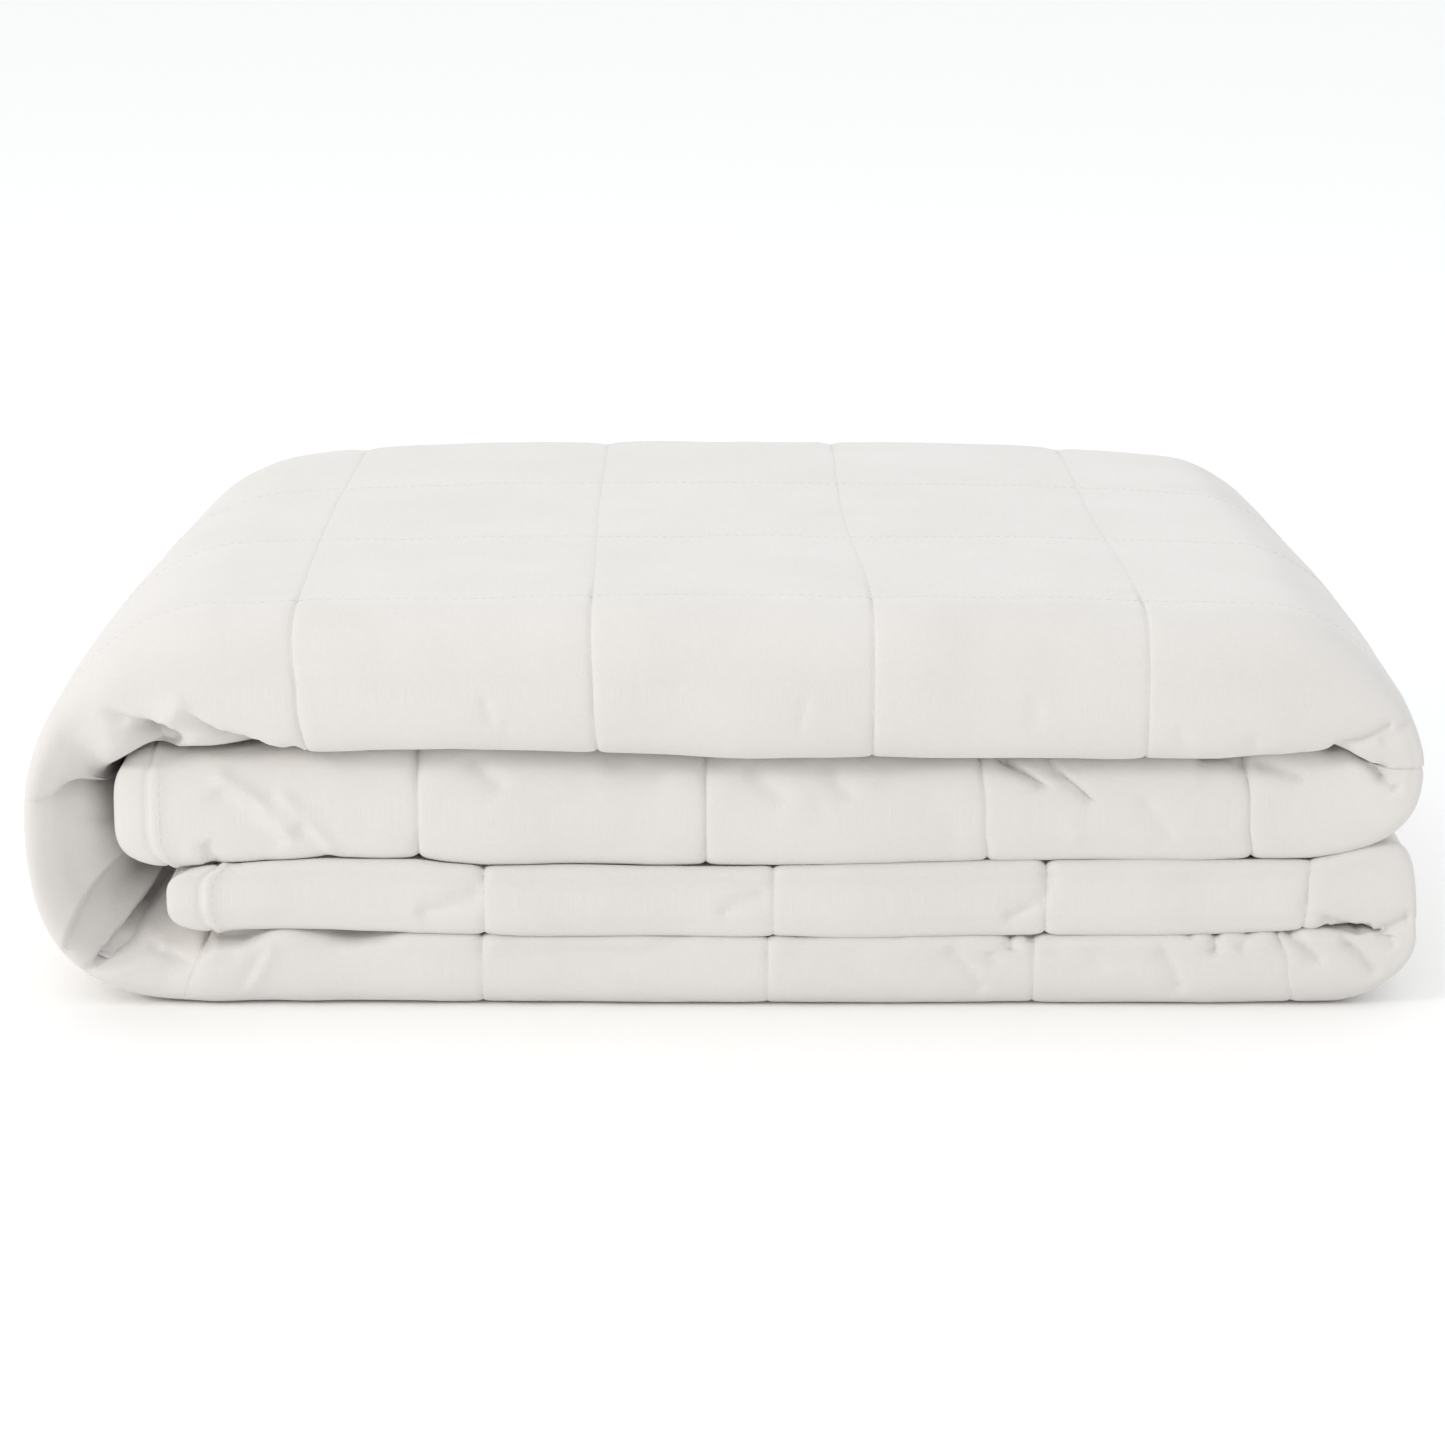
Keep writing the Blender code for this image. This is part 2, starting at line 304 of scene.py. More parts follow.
def frontAngle(share):
    # angle round the front fold at a share of its length, from the inner side to the outer
    turn = np.radians(np.linspace(270, 90, 721))
    power = 2 / fold["meanSquareness"]
    y, w = np.abs(np.cos(turn)) ** power, np.sign(np.sin(turn)) * np.abs(np.sin(turn)) ** power
    lengths = np.concatenate([[0], np.cumsum(np.hypot(np.diff(y), np.diff(w)))])
    return float(np.interp(share, lengths / lengths[-1], np.degrees(turn)))


# The parts of the cloth from hem to hem: a, b, c and d are the plies, from the bundle's inner side to its
# outer side
parts = ("a", "frontOut", "d", "back", "c", "frontIn", "b")


def order(column):
    # where a column comes between the hems
    return parts.index(column[0]) + column[1] * 0.9999


def ringColumns():
    # columns across the cloth from hem to hem, on its good side and on its under side: each is a part of the
    # cloth and a share of the way along it
    def graded(stops, length, fine=(0.0008, 0.0022, 0.0046), step=0.0042):
        # shares of a length, close together at its stops
        places = {0.0, 1.0}
        edges = [0.0] + [s / length for s in stops] + [1.0]
        for k, s in enumerate(edges[1:-1]):
            places.add(s)
            for f in fine:
                places.update((s - f / length, s + f / length))
        for a, b in zip(edges, edges[1:]):
            low = a + (fine[-1] / length if a > 0 else 0)
            high = b - (fine[-1] / length if b < 1 else 0)
            count = max(1, round((high - low) * length / step))
            places.update(np.linspace(low, high, count + 1))
        return sorted(p for p in places if 0 <= p <= 1)

    depth = fold["backs"][0] - fold["fronts"][0] - 0.033  # flat part of a ply in the first layer
    hemSeam = cloth["hem"] / depth
    hemEnd = [0.0, 0.0014 / depth, 0.005 / depth, 0.010 / depth, hemSeam - 0.0026 / depth,
              hemSeam - 0.001 / depth, hemSeam, hemSeam + 0.001 / depth, hemSeam + 0.003 / depth,
              hemSeam + 0.008 / depth]
    coming = list(np.linspace(hemSeam + 0.016 / depth, 0.80, 9)) + list(np.linspace(0.83, 1.0, 10))
    seamsAlong = [depth - cloth["pocket"] * (k - 0.12) for k in (3, 2, 1)]
    good = {
        "a": hemEnd + coming[:-1],
        "frontOut": np.linspace(0, 1, 47),
        "d": graded(seamsAlong, depth)[1:-1],
        "back": (0, 0.12, 0.25, 0.36, 0.44, 0.5, 0.56, 0.64, 0.75, 0.88, 1.0),
        "c": (0.03, 0.07, 0.13, 0.3, 0.5, 0.75, 0.95),
        "frontIn": np.linspace(0, 1, 5),
        "b": [1 - s for s in [0.95, 0.75, 0.5, 0.3, 0.15] + hemEnd[::-1]],
    }
    under = {
        "a": (0.0, 0.0015 / depth, 0.006 / depth, hemSeam, 0.12, 0.35, 0.6, 0.85),
        "frontOut": np.linspace(0, 1, 9),
        "d": (0.12, 0.35, 0.6, 0.85),
        "back": np.linspace(0, 1, 5),
        "c": (0.15, 0.4, 0.7),
        "frontIn": np.linspace(0, 1, 5),
        "b": (0.25, 0.5, 0.8, 1 - hemSeam, 1 - 0.006 / depth, 1 - 0.0015 / depth, 1.0),
    }
    return [[(part, share) for part, shares in side.items() for share in shares] for side in (good, under)]


def crossLine(columns, front, back, pitch, ply, square):
    # the middle of the cloth at every station and column, and the direction that the good side faces: y runs
    # to the back and w from the bundle's inner side to its outer side
    frontY, backY = front + 1.5 * pitch + ply / 2, back - pitch
    outerEdge, innerEdge = (back - behind for behind in fold["hemsBehind"])
    pieces = []
    for part, share in columns:
        if part == "a":
            piece = (outerEdge + (frontY - outerEdge) * share, -1.5 * pitch, 0, -1)
        elif part == "d":
            piece = (frontY + (backY - frontY) * share, 1.5 * pitch, 0, 1)
        elif part == "c":
            piece = (backY + (frontY - backY) * share, 0.5 * pitch, 0, -1)
        elif part == "b":
            piece = (frontY + (innerEdge - frontY) * share, -0.5 * pitch, 0, 1)
        else:
            angle, middleY, middleW, radius, facing = {
                "frontOut": (frontAngle(share), frontY, 0 * pitch, 1.5 * pitch, 1),
                "back": (90 - 180 * share, backY, pitch, 0.5 * pitch, 1),
                "frontIn": (90 + 180 * share, frontY, 0 * pitch, 0.5 * pitch, -1)}[part]
            cosine, sine = math.cos(math.radians(angle)), math.sin(math.radians(angle))
            side = square[:, 0 if angle > 180 else 1]
            power = 2 / (side if part == "frontOut" else 2 + 0 * side)
            signed = lambda value, exponent: np.sign(value) * abs(value) ** exponent
            outY, outW = signed(cosine, 2 - power), signed(sine, 2 - power)
            length = np.hypot(outY, outW)
            piece = (middleY + radius * signed(cosine, power), middleW + radius * signed(sine, power),
                     facing * outY / length, facing * outW / length)
        pieces.append([np.broadcast_to(value, front.shape) for value in piece])
    return [np.stack([piece[k] for piece in pieces], 1) for k in range(4)]


class Lumps:
    # smooth random heights on a plane, the same on every run
    def __init__(self, seed):
        self.grid = np.random.default_rng(seed).uniform(-1, 1, (257, 257))

    def at(self, a, b):
        ia, ib = np.floor(a).astype(int), np.floor(b).astype(int)
        fa, fb = a - ia, b - ib
        fa, fb = fa ** 3 * (fa * (fa * 6 - 15) + 10), fb ** 3 * (fb * (fb * 6 - 15) + 10)
        pick = lambda i, j: self.grid[i % 257, j % 257]
        low = pick(ia, ib) * (1 - fa) + pick(ia + 1, ib) * fa
        high = pick(ia, ib + 1) * (1 - fa) + pick(ia + 1, ib + 1) * fa
        return low * (1 - fb) + high * fb


# Creases, placed in millimetres as seen from one side: the layers they are on (4 is the turn at the
# left), their points, depth, width, and how much steeper the left side of the way from point to point is. A
# negative depth is a ridge.
frontCreases = (
    # pleats where the top layer turns down at the left
    ((0, 4), ((-218, 114.5), (-207, 110.5), (-200, 108), (-191, 102.5)), 3.6, 8.0, 0.3),
    ((0, 4), ((-193, 116), (-180, 108.5), (-172, 105), (-165, 101), (-150, 95)), 7.5, 11.0, 0.2),
    ((0, 4), ((-187, 119), (-194, 104)), -1.6, 4.0, 1),
    # small gathers along the top layer's front
    ((0,), ((-83, 119), (-80, 108)), 0.9, 2.2, 0.6),
    ((0,), ((-76, 110), (-74, 102)), 0.5, 2.0, 1),
    ((0,), ((29, 119), (27, 105)), 0.7, 2.6, 0.6),
    ((0,), ((108, 119), (109, 106)), 0.7, 2.6, 1),
    ((0,), ((158, 108), (162, 99)), 0.8, 2.2, 1),
    ((0,), ((186, 106), (184, 97)), 0.9, 2.4, 1),
    # the corner where the top layer turns down at the right
    ((0, 1), ((212, 99), (219, 101), (225, 103), (235, 109)), 2.6, 2.2, 0.8),
    ((0, 1), ((229, 93), (234, 88), (238, 81)), 2.4, 2.0, 1),
    ((0, 1), ((229, 101), (235, 104), (240, 109)), 1.3, 1.8, 1),
    ((1,), ((166, 92), (176, 92.5), (186, 90.5)), 2.4, 3.4, 1),
    ((1,), ((231, 81), (243, 77)), 0.6, 2.0, 1),
    # second layer: slanting folds near its end, and fans of folds that run down from its top
    ((1,), ((-181, 88), (-164, 78), (-150, 62)), -2.4, 3.4, 0.8),
    ((1,), ((-181, 83), (-167, 70), (-154, 59)), 1.9, 5.0, 1),
    ((1,), ((-158, 82), (-148, 72), (-136, 56)), -1.7, 3.4, 0.8),
    ((1,), ((-151, 70), (-138, 53)), 1.3, 4.2, 1),
    ((1,), ((-191, 60), (-183, 57)), -1.2, 4.0, 1),
    ((1,), ((-184, 62), (-179, 54)), 1.3, 2.6, 1),
    ((1,), ((-90, 94), (-84, 87), (-76, 80)), 2.0, 5.0, 0.7),
    ((1,), ((-44, 92), (-30, 87), (-18, 88)), 1.6, 6.0, 1),
    ((1,), ((-49, 91), (-47, 75)), 0.5, 3.0, 1),
    ((1,), ((8, 92), (14, 84), (24, 75)), 1.8, 5.0, 0.8),
    ((1,), ((36, 93), (40, 84), (47, 76)), 1.6, 4.5, 0.8),
    ((1,), ((32, 82), (36, 70)), 0.5, 3.0, 1),
    ((1,), ((59, 91), (56, 81)), 0.6, 4.0, 1),
    ((1,), ((75, 82), (72, 72)), 0.5, 4.0, 1),
    ((1,), ((79, 74), (82, 61)), 0.5, 3.0, 1),
    ((1,), ((93, 95), (98, 93), (104, 90), (109, 87), (116, 81)), 4.4, 2.4, 0.4),
    ((1,), ((112, 95), (118, 89), (125, 83), (133, 75)), 3.2, 2.2, 0.4),
    ((1,), ((122, 74), (126, 60)), -0.5, 3.0, 1),
    ((1,), ((147, 81), (155, 70), (161, 61)), 1.0, 4.0, 0.5),
    ((1,), ((186, 91), (192, 90), (198, 88), (207, 85)), 2.2, 2.4, 0.8),
    # third layer
    ((2,), ((-110, 35), (-98, 38), (-84, 44)), 1.7, 4.0, 0.7),
    ((2,), ((-2, 34), (6, 40), (17, 43)), 1.3, 2.8, 0.7),
    ((2,), ((-165, 34), (-137, 37), (-108, 38)), 0.6, 5.0, 1),
    ((2,), ((117, 54), (116, 43), (110, 38), (99, 32)), 1.8, 2.8, 0.6),
    ((2,), ((209, 43), (206, 36)), 0.9, 2.0, 1),
    # bottom layer: dents under the third layer and folds that run down from them
    ((2, 3), ((212, 33), (218, 31), (226, 29), (234, 30)), 2.6, 2.4, 1),
    ((2, 3), ((232, 28.5), (238, 30), (246, 35)), 2.6, 2.2, 1),
    ((3, 4), ((-156, 32), (-165, 29), (-174, 25.5), (-192, 26)), 1.4, 5.0, 0.6),
    ((3,), ((-112, 32), (-122, 28), (-134, 27), (-148, 31)), 1.2, 5.0, 0.6),
    ((3,), ((-160, 24), (-165, 14), (-171, 5)), -1.1, 2.4, 1),
    ((3,), ((-163, 24), (-168, 14), (-173, 6)), 1.1, 2.8, 1),
    ((3, 4), ((-186, 16), (-172, 19.5)), 0.6, 2.2, 1),
    ((3,), ((-84, 26), (-62, 22), (-30, 21), (-6, 25)), 1.2, 4.0, 1),
    ((3,), ((20, 25), (45, 22), (70, 25)), 0.9, 4.0, 1),
    ((3,), ((80, 24), (87, 16), (95, 5)), 1.5, 3.2, 0.7),
    ((3,), ((95, 21), (98, 15)), 0.9, 3.0, 1),
    ((3,), ((102, 29), (103, 25), (103, 21)), 2.2, 2.0, 1),
    ((3,), ((109, 29), (110, 24)), 1.6, 2.2, 1),
    ((3,), ((117, 26), (119, 18)), 0.7, 3.0, 1),
    ((3,), ((132, 23), (135, 14)), 0.7, 3.0, 1),
    ((3,), ((155, 25), (161, 16), (165, 5)), 1.7, 3.4, 0.5),
    ((3,), ((166, 29), (167, 25)), 1.3, 2.2, 1),
    ((3,), ((176, 32), (176, 27), (175, 19)), 2.8, 1.8, 1),
    ((3,), ((190, 31), (187, 26), (184, 21)), 1.6, 2.2, 1),
    ((3,), ((200, 30), (203, 27), (208, 23), (214, 16)), 3.2, 2.6, 0.6),
    ((3,), ((220, 27), (228, 20), (235, 12)), 2.9, 2.6, 0.6),
    ((3,), ((236, 30), (240, 22)), 1.6, 2.0, 1),
    # inside the turn at the left
    ((4,), ((-207, 21.5), (-198, 18), (-189, 15)), 1.8, 2.4, 0.6),
    ((4,), ((-215, 27), (-205, 22.5), (-198, 19.5)), -1.1, 2.4, 1),
)

# Hollows, in the same way, where the whole front stands back
frontHollows = (
    # under the pleats
    ((0, 4), ((-207, 109), (-199.5, 106), (-194, 102.5), (-190, 97)), 10.0, 8.0, 0.35),
    ((0,), ((-176, 107), (-168, 103.5), (-160, 99.5), (-151, 95)), 13.0, 8.0, 0.2),
    ((0, 4), ((-201, 108), (-199.5, 103), (-198, 95)), 8.0, 6.0, 1),
    ((0,), ((-179, 104), (-170, 102), (-162, 97.5)), 7.0, 5.0, 0.4),
    # over the bottom layer, under the loose end of the third
    ((3, 4), ((-162, 29), (-172, 25.5), (-180, 25), (-192, 27)), 7.0, 4.0, 0.3),
    ((3,), ((-121, 29), (-131, 26.5), (-142, 29)), 7.0, 4.0, 0.4),
    ((4,), ((-206, 34), (-196, 31), (-187, 28)), 3.0, 6.0, 1),
    ((3, 4), ((-188, 31), (-187, 26), (-187, 21)), 6.0, 1.6, 1),
    # the open corner under the top layer at the right
    ((0, 1), ((217, 97), (226, 93), (231, 89.5), (235, 84)), 5.0, 1.9, 0.8),
)


def seamStations(stretches):
    return [(lengthAt(stretches, name, place), *rest) for name, places in seamPlaces.items()
            for place, *rest in places]


def edgeFullness(near):
    # the cloth's thickness near its edge, as a share
    return 1 - cloth["edgeThin"] * np.exp(-near / cloth["edgeLength"])


def hemRidge(near, height):
    # the hem's doubled cloth stands up as a narrow ridge beside its sewn line
    hump = lambda place, width: np.exp(-((near - cloth["hem"] - place) / width) ** 2)
    slope = np.where(near > cloth["hem"] - 0.0020, 0.0040, 0.0011)
    return height * (hump(-0.0020, slope) - 0.7 * hump(-0.0042, 0.0009))


filling = {
    # its large and small lumps, and the puckers beside seams across and along: heights, sizes in two
    # directions, a seed, and shifts
    "lump": (0.00042, (0.034, 0.041), 3, (5, 9)),
    "smallLump": (0.00022, (0.016, 0.019), 4, (0, 0)),
    "pucker": (0.00055, (0.0085, 0.03), 5, (3, 7)),
    "lengthwisePucker": (0.00022, (0.0085, 0.03), 6, (3, 7)),
    "puckersFrom": 0.002,  # distances from a seam
    "puckersTo": 0.012,
    "emptyEnd": 0.01,  # the loose ends are flat over this length
}


def lumpy(name, a, b):
    height, sizes, seed, shifts = filling[name]
    return height * Lumps(seed).at(a / sizes[0] + shifts[0], b / sizes[1] + shifts[1])


def fillingHeights(rows, columns):
    # lumps of the filling, and puckers beside the seams
    u, v = rows["stations"][:, None], columns["v"][None, :]
    beside = lambda near: np.exp(-near / filling["puckersTo"]) * (1 - np.exp(-near / filling["puckersFrom"]))
    puckers = lumpy("pucker", v, u) * beside(rows["nearSeam"][:, None]) * columns["tight"][None, :]
    lengthwise = lumpy("lengthwisePucker", u, v) * beside(columns["stitch"][None, :])
    lumps = lumpy("lump", u, v) + lumpy("smallLump", u, v) + puckers + lengthwise
    return lumps * np.minimum(rows["nearEnd"][:, None] / filling["emptyEnd"], 1)


def meetingEdges(tags, columns):
    # 1 where a layer's front meets the layer above it, and less where it meets the one below
    topIsOuter = np.isin(tags, (0, 2))[:, None]
    above = np.where(topIsOuter, columns["outerCorner"], columns["innerCorner"])
    below = np.where(topIsOuter, columns["innerCorner"], columns["outerCorner"])
    return above * np.where(tags == 0, 0, 1)[:, None] + below * np.where(tags < 3, 0.45, 0)[:, None]


def seamPull(rows, columns, half):
    # how far the seams pull the good side in
    tags, nearSeam = rows["tags"], rows["nearSeam"][:, None]
    nearStitch, tight, inside = (columns[key][None, :] for key in ("stitch", "tight", "inside"))
    narrow = lambda near: cloth["seamDepth"] * np.exp(-near / cloth["seamWidth"])
    swell = lambda near: cloth["swellDepth"] * np.exp(-(near / cloth["swellWidth"]) ** 2)
    # thin plies and some of the layers have weaker seams
    deep = np.minimum(1, 0.35 + 0.65 * (half / cloth["plump"]))
    deep = deep * np.choose(tags, cloth["layerPull"])[:, None]
    across = (narrow(nearSeam) * deep + swell(nearSeam)) * tight
    # near the front, the outside of the turn at the left is drawn smooth
    outside = smooth(0.006, -0.014, inside) * smooth(-0.085, -0.040, inside) * (tags == 4)[:, None]
    across = across * (1 - 0.85 * outside)
    # at the front, seams pull in hardest where the layers meet
    pinch = np.exp(-(nearSeam / cloth["notchWidth"]) ** 1.3)
    notch = rows["notch"][:, None] * deep * cloth["notchDepth"] * pinch
    across = across + notch * meetingEdges(tags, columns)
    # seams are deeper down the sides and at the back
    onSide = smooth(0.120, 0.060, rows["height"])[:, None]
    behind = smooth(-0.285, -0.330, inside)
    across = across * (1 + cloth["sidePull"] * np.maximum(onSide, behind) * smooth(0.9, 0.5, tight))
    weaker = cloth["lengthwise"] + (cloth["lengthwiseOnSide"] - cloth["lengthwise"]) * onSide
    lengthwise = (narrow(nearStitch) + swell(nearStitch)) * weaker
    return np.maximum(across, lengthwise) + 0.3 * np.minimum(across, lengthwise)


def goodSideHeights(rows, columns, half, base, normal):
    # how far the good side stands from the middle of its ply, and leans along the front, at every station
    # (a row) and column
    nearEnd, nearHem = rows["nearEnd"][:, None], columns["hem"][None, :]
    full = edgeFullness(nearEnd) * edgeFullness(nearHem)
    # squarer corners are the ones that the weight above squeezes out
    squeezed = smooth(4, 6, rows["square"])
    innerHalf = columns["innerCorner"] > columns["outerCorner"]
    squeezed = np.where(innerHalf[None, :], squeezed[:, :1], squeezed[:, 1:])
    pull = seamPull(rows, columns, half) - cloth["press"] * columns["pressed"][None, :] * squeezed
    ridge = hemRidge(nearEnd, cloth["hemRidges"][0]) + hemRidge(nearHem, cloth["hemRidges"][1])
    creases, leaning = creaseHeights(base, normal, rows["tags"])
    heights = half * full - pull + ridge + fillingHeights(rows, columns)
    heights = heights + creases + wrapHeights(columns, rows["turnAngle"])
    return np.maximum(heights, -0.6 * half), leaning


wrap = {
    # how far the turn at the left swells into the hollow inside it, by angle; below 0 it draws back
    "fill": ((92, 0), (96, -0.001), (100, -0.002), (105, -0.004), (109, -0.003), (114, -0.001), (119, 0),
             (150, 0.006), (168, 0.011), (190, 0.0140), (205, 0.016), (213, 0.012), (219, 0.006),
             (226, 0.007), (236, 0.011), (252, 0.007), (262, 0.003), (270, 0)),
    "seamFold": (174, 0.0055, 3.0),  # angle, depth and width in degrees
    # below it the front drops back between two edges, and a deeper cleft follows: angles at the outside,
    # halfway and at the inside of the turn
    "upperEdge": (220, 212, 206),
    "lowerEdge": (228, 232, 234),
    "cleftEnd": (231, 235.5, 240.5),
    "drop": ((-0.04, 0), (0.02, 0.0060), (0.06, 0.0090), (0.5, 0.0080), (1.0, 0.0105)),
    "rest": (0.0120, 22),  # beyond the cleft the front comes forward again over so many degrees
    "cleft": 0.0350,
    "slope": 0.0150,  # how far its inside lies behind its outside
}


def nearFront(inside):
    return smooth(0.220, 0.090, inside)


def wrapHeights(columns, angles):
    # angles are those of the stations, and 0 for stations outside the turn
    inside = columns["inside"][None, :]
    turn = (angles > 91)[:, None]
    fill = sum(along(wrap["fill"], angles + turned) for turned in (-3, -1, 1, 3)) / 4
    fill = fill[:, None] * smooth(0.006, 0.046, inside)
    place, depth, width = wrap["seamFold"]
    away = np.abs(angles[:, None] - place) / width
    folds = depth * np.exp(-away ** 1.5) * smooth(-0.011, 0.014, inside)
    # it is plain towards the back
    return np.where(turn, (fill - folds) * nearFront(inside), 0)


def wrapDrop(angles, share):
    # how far the front of the turn at the left stands back, at a share of the way from its inside to its
    # outside
    angles = angles[:, None]
    edge = lambda name: np.interp(share, (0, 0.5, 1), wrap[name][::-1])
    upper, lower, end = edge("upperEdge"), edge("lowerEdge"), edge("cleftEnd")
    deep = along(wrap["drop"], (angles - upper) / (lower - upper)) * (angles < lower)
    deepest = wrap["cleft"] * (0.4 + 0.6 * smooth(1, 0.5, share))
    cleft = np.minimum(wrap["drop"][-1][1] + deepest * smooth(0, 2.5, angles - lower), deepest)
    rest, reach = wrap["rest"]
    rest = rest * smooth(end + 2 + reach * (1 - share), end, angles)
    deep = deep + (angles >= lower) * (rest + (cleft - rest) * smooth(end + 3.4, end - 2.0, angles))
    slope = wrap["slope"] * np.clip(1 - share, 0, 1) ** 1.4 * smooth(122, 150, angles)
    return deep * smooth(1.04, 0.38, share) + slope * smooth(268, 256, angles)


def creaseHeights(base, normal, tags):
    # heights of all creases, and how far their steep sides lean over them in x and z
    total, leaning = np.zeros(base.shape[:2]), np.zeros((*base.shape[:2], 2))
    seen = smooth(-0.05, 0.3, -normal[..., 1])
    flat = base[..., [0, 2]] * 1000
    for layers, points, depth, width, lean in frontCreases:
        points = np.array(points, float)
        low, high = points.min(0) - 3 * width, points.max(0) + 3 * width
        near = (flat[..., 0].max(1) > low[0]) & (flat[..., 0].min(1) < high[0])
        rows = np.flatnonzero(np.isin(tags, layers) & near)
        if len(rows):
            shape, lip = troughShape(flat[rows], points, width, lean)
            total[rows] -= seen[rows] * depth / 1000 * shape
            leaning[rows] += (seen[rows] * max(depth, 0) / 1000)[..., None] * lip
    return total, leaning


def hollowDrop(x, z, tags):
    # how far the front stands back at each point
    flat = np.stack([x, z], -1) * 1000
    total = np.zeros(x.shape)
    for layers, points, depth, width, lean in frontHollows:
        rows = np.flatnonzero(np.isin(tags, layers))
        total[rows] += depth / 1000 * troughShape(flat[rows], np.array(points, float), width, lean)[0]
    return total


def troughShape(flat, points, width, lean):
    # 1 along a line of points, falling off to both sides and towards its two ends, and its overhanging lip
    lengths = np.linalg.norm(np.diff(points, axis=0), axis=1)
    best = np.full(flat.shape[:2], 1e9)
    signed, place = np.zeros(flat.shape[:2]), np.zeros(flat.shape[:2])
    across = np.zeros((*flat.shape[:2], 2))
    done = 0.0
    for start, end, length in zip(points, points[1:], lengths):
        direction = (end - start) / length
        away = flat - start
        t = np.clip(away @ direction, 0, length)
        distance = np.linalg.norm(away - t[..., None] * direction, axis=-1)
        closer = distance < best
        best = np.where(closer, distance, best)
        signed = np.where(closer, away[..., 0] * direction[1] - away[..., 1] * direction[0], signed)
        place = np.where(closer, (done + t) / lengths.sum(), place)
        across = np.where(closer[..., None], (direction[1], -direction[0]), across)
        done += length
    steep = width * lean
    reach = np.where(signed > 0, width, steep)
    taper = smooth(0, 0.16 + 0.4 * max(0, 1 - 1.5 * lean), place) * smooth(0, 0.16, 1 - place)
    lip = (1 - np.exp(-(best / steep) ** 1.6)) * np.exp(-(best / (3 * steep + 3)) ** 2)
    lip = 0.8 * max(0, 1 - 1.4 * lean) * lip * taper * (signed < 0)
    return np.exp(-(best / reach) ** np.where(signed > 0, 1.2, 1.6)) * taper, lip[..., None] * across


def placesAcross(columns):
    # the length across the cloth at each column, measured on the first layer
    thick = fold["top"] - float(along(fold["gapAbove2"], 0)) - fold["gap"] / 2
    pitch = (thick + cloth["plyGap"]) / 4
    ply = pitch - cloth["plyGap"]
    single = np.zeros(1)
    y, w, _, _ = crossLine(columns, single + fold["fronts"][0], single + fold["backs"][0], single + pitch,
                           single + ply, np.full((1, 2), 2))
    return np.concatenate([[0], np.cumsum(np.hypot(np.diff(y[0]), np.diff(w[0])))])


def columnFacts(good):
    # what the shape asks of each column of the good side
    v = placesAcross(good)
    names = np.array([part for part, _ in good])
    onFront = names == "frontOut"
    frontMiddle = v[onFront].mean()
    turn = np.where(onFront, [share for _, share in good], 0)
    hump = lambda place, width: np.exp(-((turn - place) / width) ** 2)
    backMiddle = v[np.flatnonzero(names == "back")[5]]
    stitchPlaces = backMiddle - cloth["pocket"] * np.arange(0, 7)
    return {
        "v": v, "names": names, "frontMiddle": frontMiddle, "stitchPlaces": stitchPlaces,
        "inside": frontMiddle - v,  # distance from the front edge towards the inner side
        "stitch": np.min(np.abs(v[:, None] - stitchPlaces[None, :]), 1),
        "hem": np.minimum(v, v[-1] - v),
        "innerCorner": hump(0.25, 0.12),
        "outerCorner": hump(0.75, 0.12),
        "pressed": hump(0.23, 0.06) + hump(0.77, 0.06),
        # how tightly the seams pull: less away from the front
        "tight": 0.4 + 0.6 * np.exp(-(np.maximum(np.abs(v - frontMiddle) - 0.030, 0) / 0.022) ** 2),
    }


def rowFacts(stretches):
    # what the shape asks of each station: a row of points across the cloth
    path = joinPath(stretches)
    seams = seamStations(stretches)
    total = float(path["length"][-1])
    stations = stationLengths(path, [seam[0] for seam in seams], total)
    pick = lambda values: np.interp(stations, path["length"], values)
    pickPair = lambda key: np.stack([pick(path[key][:, 0]), pick(path[key][:, 1])], 1)
    stretch = np.round(pick(path["stretch"].astype(float))).astype(int)
    outer, leftTurn = pickPair("outer"), stretches["leftTurn"]
    away = np.abs(stations[:, None] - np.array([seam[0] for seam in seams])[None, :])
    return {
        "stations": stations, "seams": seams, "total": total, "stretch": stretch,
        "nearSeam": away.min(1), "nearEnd": np.minimum(stations, total - stations),
        "notch": np.array([seam[1] for seam in seams])[away.argmin(1)],
        "inner": pickPair("inner"), "outer": outer, "square": pickPair("square"),
        "frontEdge": pick(path["front"]), "backEdge": pick(path["back"]),
        "tags": layerTags(path, stations),
        "height": outer[:, 1],
        "turnAngle": np.where(stretch == 3, np.interp(stations, leftTurn["length"], leftTurn["at"]), 0),
    }


